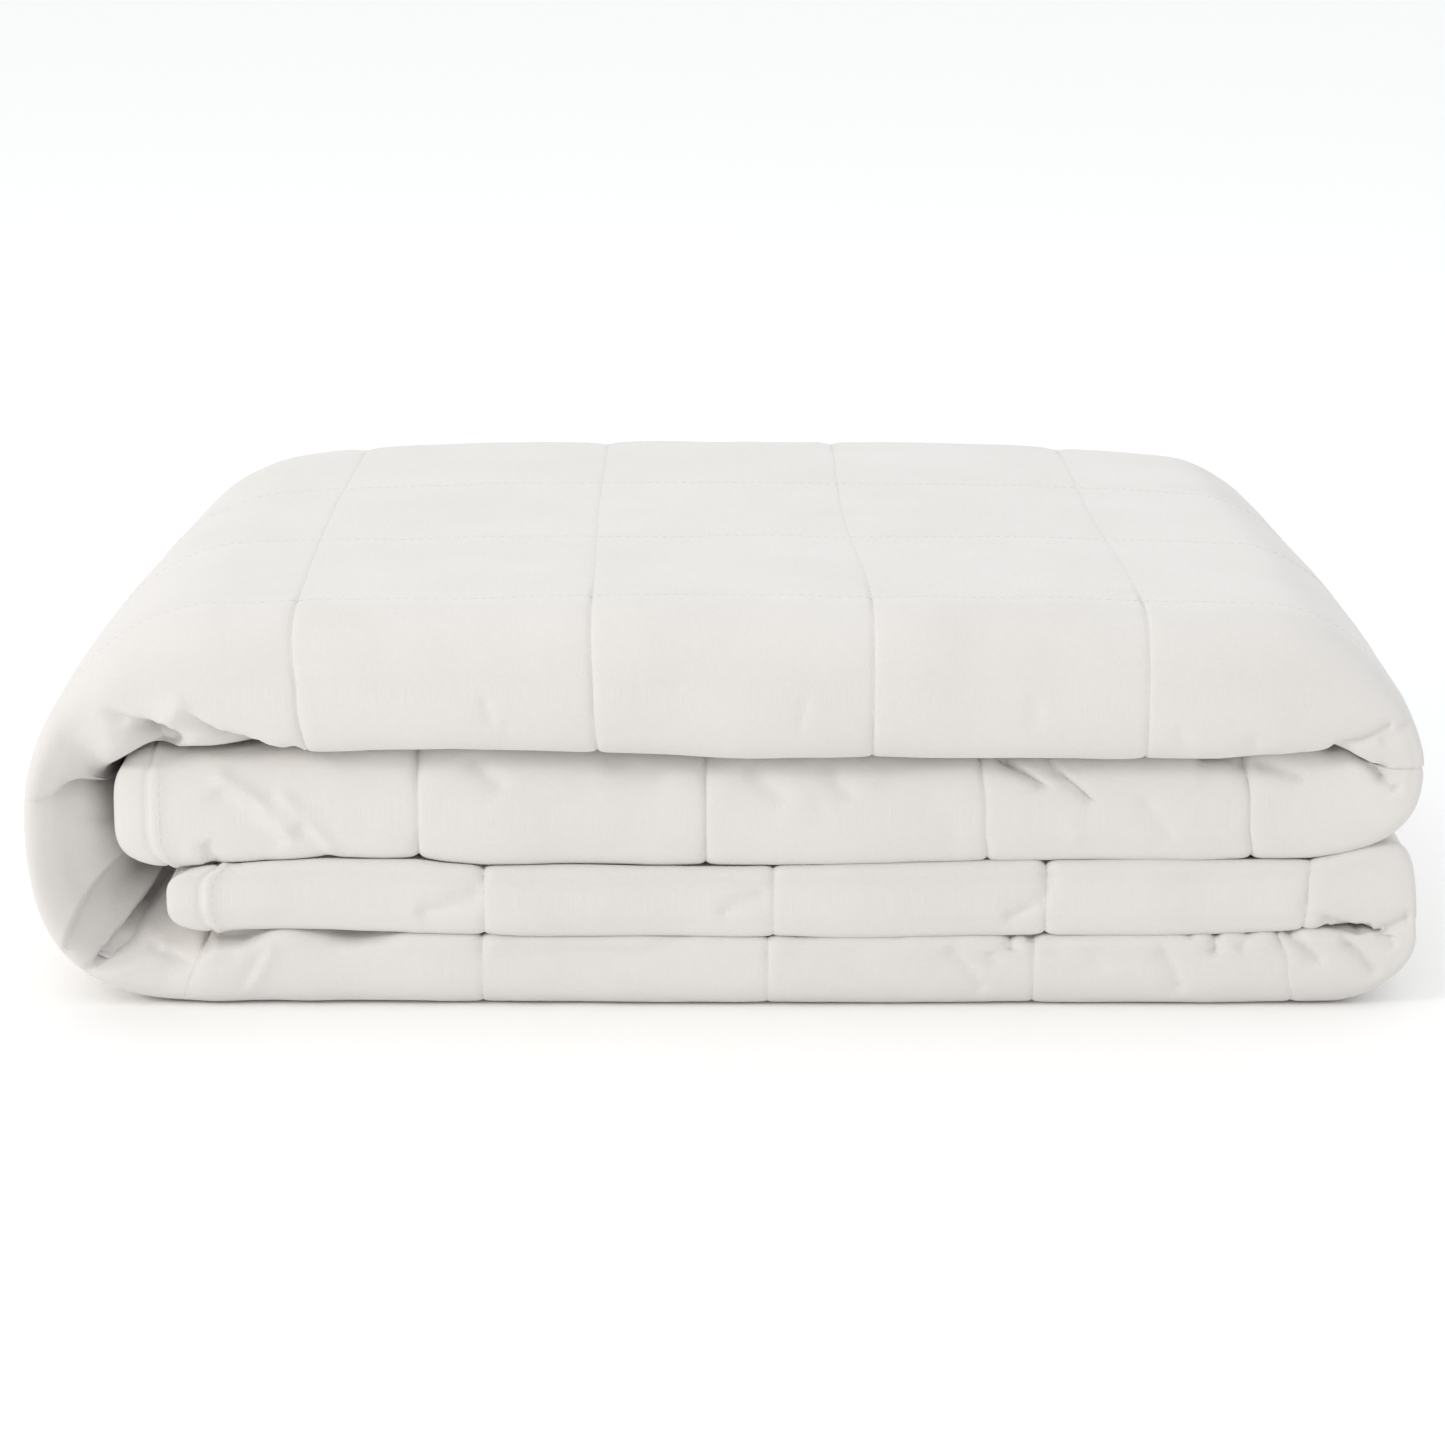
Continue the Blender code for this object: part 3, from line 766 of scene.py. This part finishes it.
def foldedQuilt():
    # every point of the cloth's good side and under side
    rows = rowFacts(pathStretches())
    stations, seams, total, tags = (rows[key] for key in ("stations", "seams", "total", "tags"))
    inner, outer = rows["inner"], rows["outer"]
    thick = np.linalg.norm(outer - inner, axis=1)
    pitch = (thick + cloth["plyGap"]) / 4
    ply = pitch - cloth["plyGap"]
    half = (ply / 2)[:, None]
    good, under = ringColumns()
    facts = columnFacts(good)
    tangent = np.gradient((inner + outer) / 2, stations, axis=0)
    tangent /= np.linalg.norm(tangent, axis=1)[:, None]

    def slide(inside):
        # seams that slant take the cloth round them along
        moved = 0
        for seamAt, _, innerSlant, outerSlant in seams:
            near = np.exp(-((stations - seamAt) / 0.020) ** 2)[:, None]
            slant = innerSlant * smooth(-0.016, 0.022, inside) * nearFront(inside)
            slant = slant + outerSlant * smooth(-0.020, -0.200, inside)
            moved = moved + near * slant[None, :]
        return moved

    def place(columns, heights, facing, inside):
        y, w, fy, fw = crossLine(columns, rows["frontEdge"], rows["backEdge"], pitch, ply, rows["square"])
        share = 0.5 + (w + facing * fw * heights) / thick[:, None]
        moved = slide(inside)
        x = inner[:, :1] + (outer[:, :1] - inner[:, :1]) * share + endShift(stations, total, share)
        x = x + moved * tangent[:, :1]
        z = inner[:, 1:] + (outer[:, 1:] - inner[:, 1:]) * share + moved * tangent[:, 1:]
        # both faces of the cloth stand back alike, and the plies inside stay behind them
        front = 0.5 + (w + fw * half) / thick[:, None]
        line = inner[:, None] + (outer - inner)[:, None] * front[..., None]
        drop = wrapDrop(rows["turnAngle"], front) + hollowDrop(line[..., 0], line[..., 1], tags)
        within = [part in ("c", "frontIn", "b") for part, _ in columns]
        drop[:, within] = drop.max(1)[:, None]
        y = y + drop * smooth(0.060, -0.090, y)
        return settle(x, y + facing * fy * heights, z), fy, fw

    base, fy, fw = place(good, np.broadcast_to(half, (len(stations), len(good))), 1, facts["inside"])
    outward = (outer - inner) / thick[:, None]
    normal = np.stack([fw * outward[:, :1], fy, fw * outward[:, 1:]], 2)
    heights, leaning = goodSideHeights(rows, facts, half, base, normal)
    goodPoints = place(good, heights, 1, facts["inside"])[0]
    goodPoints[..., [0, 2]] += leaning
    underHeights = half * edgeFullness(rows["nearEnd"][:, None]) * np.ones((1, len(under)))
    underV = np.interp([order(c) for c in under], [order(c) for c in good], facts["v"])
    underPoints = place(under, underHeights, -1, facts["frontMiddle"] - underV)[0]
    return {**rows, **facts, "good": good, "under": under, "goodPoints": goodPoints, "normal": normal,
            "underPoints": underPoints, "underV": underV}


endShapes = {
    # how far the loose ends' upper and lower edges draw back from their tips, and over what length
    "second": {"upper": 0.009, "lower": 0.012, "power": 4.0, "upperLength": 0.020, "lowerLength": 0.045},
    "third": {"upper": 0.011, "lower": 0.009, "power": 3.8, "upperLength": 0.045, "lowerLength": 0.032},
}


def endShift(stations, total, share):
    # the second layer's inner side is its top; the third's is its bottom
    shift = 0
    for name, away, up in (("second", stations, 0), ("third", total - stations, 1)):
        shape = endShapes[name]
        side = (share * 2 - 1) * (1 if up else -1)
        amount = np.where(side > 0, shape["upper"], shape["lower"])
        length = np.where(side > 0, shape["upperLength"], shape["lowerLength"])
        fade = np.clip(1 - away[:, None] / length, 0, 1) ** 1.5
        shift = shift + fade * amount * np.abs(np.clip(side, -1, 1)) ** shape["power"]
    return shift


settled = {
    "halfWidth": 0.2510,
    "front": -0.1625,
    "depth": 0.325,
    "narrowing": 0.0135,  # how much narrower each side is at the back, and at the top's front corners
    "frontNarrowing": 0.0035,
    "backCorner": 0.016,  # how far the back corners round off
    "crown": 0.0045,
    "sink": 0.0035,  # how far the top's back corners sink
    "offFloor": 0.0003,
}


def settle(x, y, z):
    # the stack narrows and rounds off towards its back, and the top is crowned
    across = np.clip(x / settled["halfWidth"], -1, 1)
    depth = np.clip((y - settled["front"]) / settled["depth"], 0, 1.02)
    lifted = np.clip(z / fold["top"], 0, 1)
    corner = smooth(0.45, 1.0, np.abs(across)) * smooth(0.35, 1.0, depth)
    frontCorner = settled["frontNarrowing"] * smooth(0.35, 0, depth) * lifted ** 2
    x = x - across ** 3 * (settled["narrowing"] * depth ** 1.7 + frontCorner)
    y = y - settled["backCorner"] * corner
    z = z + settled["crown"] * lifted ** 3 * (1 - across ** 2) - settled["sink"] * corner * lifted ** 3
    return np.stack([x, y, np.maximum(z, settled["offFloor"])], 2)


def keptStations(quilt, spacing):
    # the stations that a column keeps, at least a spacing apart, and the kept one before each station
    stations = quilt["stations"]
    count = len(stations)
    away = quilt["nearSeam"]
    # rows on a seam are kept where anything shows, and the rows close beside it where cells are small
    atSeam = (away < 1e-6) & (spacing < 0.01) | (away < 0.0036) & (spacing < 0.004)
    ends = {0, 1, 2, 3, count - 4, count - 3, count - 2, count - 1}
    kept, last = np.zeros(count, int), 0
    for k in range(count):
        if stations[k] - stations[last] >= spacing[k] - 1e-6 or k in ends or atSeam[k]:
            last = k
        kept[k] = last
    return kept


def quiltMesh(quilt):
    # a ring of cells round the cloth from station to station, with fewer where less shows
    count = len(quilt["stations"])
    spaced = lambda size: np.full(count, size)
    near = lambda mask: np.convolve(mask, np.ones(25), "same") > 0
    hidden = spaced(cloth["hiddenStep"])
    spacings = {
        "all": spaced(0),
        "top": np.where(near(np.isin(quilt["stretch"], (1, 2, 3, 5))), cloth["step"], hidden),
        "turn": np.where(near(quilt["stretch"] == 3), cloth["innerStep"], hidden),
        "edge": spaced(cloth["edgeStep"]),
        "hidden": hidden,
    }
    kept = {name: keptStations(quilt, spacing) for name, spacing in spacings.items()}

    def shown(part, share):
        # which spacing a column needs
        if part == "frontOut" or (part == "d" and share < 0.02) or (part == "a" and share > 0.97):
            return "all"
        if part == "d" and share <= 0.985:
            return "top"
        if part in ("d", "back") or (part == "a" and share < 0.012) or (part == "b" and share > 0.988):
            return "edge"
        return "turn" if part == "a" else "hidden"

    columns = [shown(*column) for column in quilt["good"]] + ["hidden"] * len(quilt["under"])
    ring = len(columns)
    points = np.concatenate([quilt["goodPoints"], quilt["underPoints"][:, ::-1]], 1)
    index = np.stack([kept[name] for name in columns], 1) * ring + np.arange(ring)[None, :]
    a, b = index[:-1], index[1:]
    nextA, nextB = np.roll(a, -1, 1), np.roll(b, -1, 1)
    quads = np.stack([a, nextA, nextB, b], 2).reshape(-1, 4)
    faces = []
    for q in quads.tolist():
        face = [q[k] for k in range(4) if q[k] != q[k - 1]]
        if len(face) > 2 and len(set(face)) == len(face):
            faces.append(face)
    goodOrder = [order(c) for c in quilt["good"]]
    underOrder = [order(c) for c in quilt["under"]]
    for row, flip in ((0, True), (count - 1, False)):
        faces += endCap(row * ring, goodOrder, underOrder, ring, flip)
    uv = np.zeros((count, ring, 2))
    uv[..., 0] = quilt["stations"][:, None]
    uv[..., 1] = np.concatenate([quilt["v"], quilt["underV"][::-1]])[None, :]
    return points.reshape(-1, 3), faces, uv.reshape(-1, 2)


def endCap(start, goodOrder, underOrder, ring, flip):
    # closes one end: a strip of triangles between the good side and the under side
    faces = []
    i, j = 0, 0
    upper = lambda k: start + k
    lower = lambda k: start + ring - 1 - k
    while i < len(goodOrder) - 1 or j < len(underOrder) - 1:
        goodNext = goodOrder[i + 1] if i < len(goodOrder) - 1 else 99
        underNext = underOrder[j + 1] if j < len(underOrder) - 1 else 99
        if goodNext <= underNext:
            face = [upper(i), upper(i + 1), lower(j)]
            i += 1
        else:
            face = [upper(i), lower(j + 1), lower(j)]
            j += 1
        faces.append(face[::-1] if flip else face)
    return faces


def makePiece(name, points, faces, uv=None):
    # a mesh object at the origin, without the points that no face uses
    used = np.zeros(len(points), bool)
    used[np.concatenate([np.array(f) for f in faces])] = True
    renumber = np.cumsum(used) - 1
    mesh = bpy.data.meshes.new(name)
    mesh.from_pydata(points[used].tolist(), [], [[int(renumber[k]) for k in f] for f in faces])
    if uv is not None:
        kept = uv[used]
        layer = mesh.uv_layers.new(name="cloth")
        corners = np.empty(len(mesh.loops), dtype=np.int32)
        mesh.loops.foreach_get("vertex_index", corners)
        layer.data.foreach_set("uv", kept[corners].astype(np.float32).ravel())
    mesh.update()
    mesh.shade_smooth()
    piece = bpy.data.objects.new(name, mesh)
    bpy.context.scene.collection.objects.link(piece)
    return piece


quilt = foldedQuilt()
blanket = makePiece("quiltedBlanket", *quiltMesh(quilt))
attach(blanket, "root")
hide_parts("blanket")
print("blanket folded:", sum(len(face.vertices) - 2 for face in blanket.data.polygons), "triangles")


sewing = {
    "pitch": 0.0034,
    "length": 0.0024,
    "thick": 0.0003,
    "raised": 0.00004,  # how far a stitch's middle stands over the cloth
    "bite": 0.00020,  # how far its ends go down
    "roughness": 0.7,
    "sheen": 0.2,
    "fibreDepth": 0.0001,
}


def oneStitch():
    # along X, with its ends bent down into the cloth: points and faces
    bpy.ops.object.select_all(action="DESELECT")
    bpy.ops.mesh.primitive_uv_sphere_add(segments=6, ring_count=4, radius=0.5, rotation=(0, math.pi / 2, 0))
    bpy.ops.object.transform_apply(rotation=True)
    ball = bpy.context.object
    bpy.ops.object.mode_set(mode="EDIT")
    bpy.ops.mesh.select_all(action="SELECT")
    bpy.ops.transform.resize(value=(sewing["length"], sewing["thick"], sewing["thick"]))
    bpy.ops.object.mode_set(mode="OBJECT")
    for group in (ball.data.polygons, ball.data.edges):
        group.foreach_set("select", [False] * len(group))
    for vertex in ball.data.vertices:
        vertex.select = abs(vertex.co.x) > 0.4 * sewing["length"]
    bpy.ops.object.mode_set(mode="EDIT")
    bpy.ops.transform.translate(value=(0, 0, -sewing["bite"]))
    bpy.ops.object.mode_set(mode="OBJECT")
    points = np.array([tuple(vertex.co) for vertex in ball.data.vertices])
    faces = []
    for face in ball.data.polygons:
        corners = list(face.vertices)
        first = corners.index(min(corners))
        faces.append(corners[first:] + corners[:first])
    bpy.data.objects.remove(ball)
    return points, sorted(faces)  # in the same order on every run


def sewnLines(quilt):
    # each visible seam and hem line as points on the cloth and the directions that it faces there
    names, stretch = quilt["names"], quilt["stretch"]
    nearest = lambda key, place: int(np.argmin(np.abs(quilt[key] - place)))
    part = lambda *where: (quilt["goodPoints"][where], quilt["normal"][where])
    onFront = names == "frontOut"
    lines = []
    for seam in quilt["seams"]:
        row = nearest("stations", seam[0])
        allRound = quilt["tags"][row] in (0, 4) or stretch[row] in (1, 5)
        lines.append(part(row, np.isin(names, ("frontOut", "d", "back")) if allRound else onFront))
    for place in quilt["stitchPlaces"]:
        column = nearest("v", place)
        if names[column] == "d":
            lines.append(part(np.isin(stretch, (1, 2, 3)), column))
    for edge in (cloth["hem"], quilt["total"] - cloth["hem"]):
        lines.append(part(nearest("stations", edge), onFront))
    return lines


def sewnLine(line, facing):
    # the middle of every stitch on a line, its direction and the cloth's
    lengths = lengthsAlong(line)
    at = (np.arange(int(lengths[-1] / sewing["pitch"])) + 0.5) * sewing["pitch"]
    pick = lambda values, where: np.stack([np.interp(where, lengths, values[:, k]) for k in range(3)], 1)
    unit = lambda vectors: vectors / np.linalg.norm(vectors, axis=1)[:, None]
    half = sewing["length"] / 2
    way = unit(pick(line, at + half) - pick(line, at - half))
    up = pick(facing, at)
    up = unit(up - np.sum(up * way, 1)[:, None] * way)
    return pick(line, at) + up * sewing["raised"], way, up


def sewnMesh(quilt):
    shape, faces = oneStitch()
    rows = [sewnLine(*line) for line in sewnLines(quilt)]
    middle, way, up = (np.concatenate([row[k] for row in rows]) for k in range(3))
    seen = middle[:, 2] > 0.002
    middle, way, up = middle[seen], way[seen], up[seen]
    side = np.cross(up, way)
    points = middle[:, None] + sum(shape[None, :, k, None] * axis[:, None]
                                   for k, axis in enumerate((way, side, up)))
    faces = [[k * len(shape) + corner for corner in face] for k in range(len(middle)) for face in faces]
    return points.reshape(-1, 3), faces


stitches = makePiece("sewnStitches", *sewnMesh(quilt))
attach(stitches, "root")
print("stitches sewn:", len(stitches.data.polygons), "faces")


class Sock:
    # a shader socket, or a number, that Python's operators turn into Math nodes
    tree = None

    def __init__(self, socket):
        self.socket = socket

    def maths(self, operation, *others):
        return node("ShaderNodeMath", {"operation": operation}, dict(enumerate((self, *others))))

    def __add__(self, other):
        return self.maths("ADD", other)

    def __mul__(self, other):
        return self.maths("MULTIPLY", other)

    __radd__ = __add__
    __rmul__ = __mul__


def node(kind, settings=None, inputs=None, output=0):
    # any shader node: its type, its settings, and the values or links of its sockets
    made = Sock.tree.nodes.new(kind)
    for name, value in (settings or {}).items():
        setattr(made, name, value)
    for name, value in (inputs or {}).items():
        if isinstance(value, Sock):
            Sock.tree.links.new(value.socket, made.inputs[name])
        else:
            made.inputs[name].default_value = value
    return Sock(made.outputs[output]) if made.outputs else None


def noise(where, scale, detail, roughness):
    return node("ShaderNodeTexNoise", None, {"Vector": where, "Scale": scale, "Detail": detail,
                                             "Roughness": roughness})


def tinted(mask):
    # from the cotton's dark colour to its light one
    return node("ShaderNodeMix", {"data_type": "RGBA"},
                {0: mask, 6: (*cotton["dark"], 1), 7: (*cotton["light"], 1)}, output=2)


def newMaterial(name):
    material = bpy.data.materials.new(name)
    material.use_nodes = True
    Sock.tree = material.node_tree
    Sock.tree.nodes.clear()
    return material


def finishMaterial(colour, height, strength, values):
    bump = node("ShaderNodeBump", None, {"Height": height, "Strength": strength, "Distance": 1.0})
    shader = node("ShaderNodeBsdfPrincipled", None, {"Base Color": colour, "Normal": bump, **values})
    node("ShaderNodeOutputMaterial", None, {"Surface": shader})


cotton = {
    "light": (0.716, 0.694, 0.670),
    "dark": (0.686, 0.663, 0.637),
    "roughness": 0.92,
    "sheen": 0.35,
    "thread": 0.0007,
    "napDepth": 0.00035,
    "weaveDepth": 0.00005,
}


def brushedCotton():
    material = newMaterial("brushedCotton")
    where = node("ShaderNodeUVMap", {"uv_map": "cloth"}, output="UV")
    cloudy = noise(node("ShaderNodeTexCoord", output="Object"), 22.0, 3.0, 0.55)
    slubs = noise(where, 420.0, 3.0, 0.6)
    mask = node("ShaderNodeMapRange", None,
                {"Value": cloudy * 0.7 + slubs * 0.3, "From Min": 0.34, "From Max": 0.66})
    nap = noise(where, 900.0, 4.0, 0.65)
    threads = lambda band: node("ShaderNodeTexWave", {"wave_type": "BANDS", "bands_direction": band},
                                {"Vector": where, "Scale": 6.2832 / cotton["thread"] / 20,
                                 "Distortion": 0.6, "Detail": 1.0})
    weave = threads("X") * threads("Y")
    finishMaterial(tinted(mask), nap * cotton["napDepth"] + weave * cotton["weaveDepth"], 0.55, {
        "Roughness": cotton["roughness"], "Sheen Weight": cotton["sheen"], "Sheen Roughness": 0.45,
        "Specular IOR Level": 0.22})
    return material


def sewingThread():
    material = newMaterial("sewingThread")
    fibres = noise(node("ShaderNodeTexCoord", output="Object"), 2500.0, 2.0, 0.6)
    finishMaterial(tinted(fibres), fibres * sewing["fibreDepth"], 0.5, {
        "Roughness": sewing["roughness"], "Sheen Weight": sewing["sheen"], "Specular IOR Level": 0.3})
    return material


blanket.data.materials.append(brushedCotton())
stitches.data.materials.append(sewingThread())
print("cloth finished")


studio = {
    "cameraAt": (0, -1.4625, 0.458),
    "cameraTilt": 75,
    "lens": 96.5,
    "sensor": 36,
    "sky": ((0.97, 0.985, 1), 0.98),
    "floor": (0.99, 0.985, 0.975),
    # place, aim, size, power and colour
    "overhead": ((0, 0.1, 1.9), (0, 0, 0.1), (1.8, 1.4), 3, (1, 1, 1)),
    "key": ((-2.4, -1.4, 1.25), (0, 0, 0.08), (0.55, 0.55), 24, (1, 0.93, 0.86)),
}


def areaLight(name, at, aim, size, power, colour):
    lamp = bpy.data.lights.new(name, "AREA")
    lamp.shape = "RECTANGLE"
    lamp.size, lamp.size_y = size
    lamp.energy = power
    lamp.color = colour
    holder = bpy.data.objects.new(name, lamp)
    holder.location = at
    holder.rotation_euler = (Vector(aim) - Vector(at)).to_track_quat("-Z", "Y").to_euler()
    bpy.context.scene.collection.objects.link(holder)


def paleFloor():
    bpy.ops.object.select_all(action="DESELECT")
    bpy.ops.mesh.primitive_plane_add(size=30, location=(0, 0, 0))
    floor = bpy.context.object
    floor.name = "floor"
    material = bpy.data.materials.new("paleFloor")
    material.use_nodes = True
    shader = material.node_tree.nodes["Principled BSDF"]
    shader.inputs["Base Color"].default_value = (*studio["floor"], 1)
    shader.inputs["Roughness"].default_value = 0.9
    floor.data.materials.append(material)


def makeStudio():
    scene = bpy.context.scene
    camera = bpy.data.cameras.new("camera")
    camera.lens, camera.sensor_width = studio["lens"], studio["sensor"]
    holder = bpy.data.objects.new("camera", camera)
    holder.location = studio["cameraAt"]
    holder.rotation_euler = (math.radians(studio["cameraTilt"]), 0, 0)
    scene.collection.objects.link(holder)
    scene.camera = holder
    scene.view_settings.view_transform = "Standard"
    scene.view_settings.look = "None"
    world = bpy.data.worlds.new("studio")
    scene.world = world
    world.use_nodes = True
    background = world.node_tree.nodes["Background"]
    colour, strength = studio["sky"]
    background.inputs["Color"].default_value = (*colour, 1)
    background.inputs["Strength"].default_value = strength
    for name in ("overhead", "key"):
        areaLight(name, *studio[name])
    paleFloor()


makeStudio()
print("studio ready")
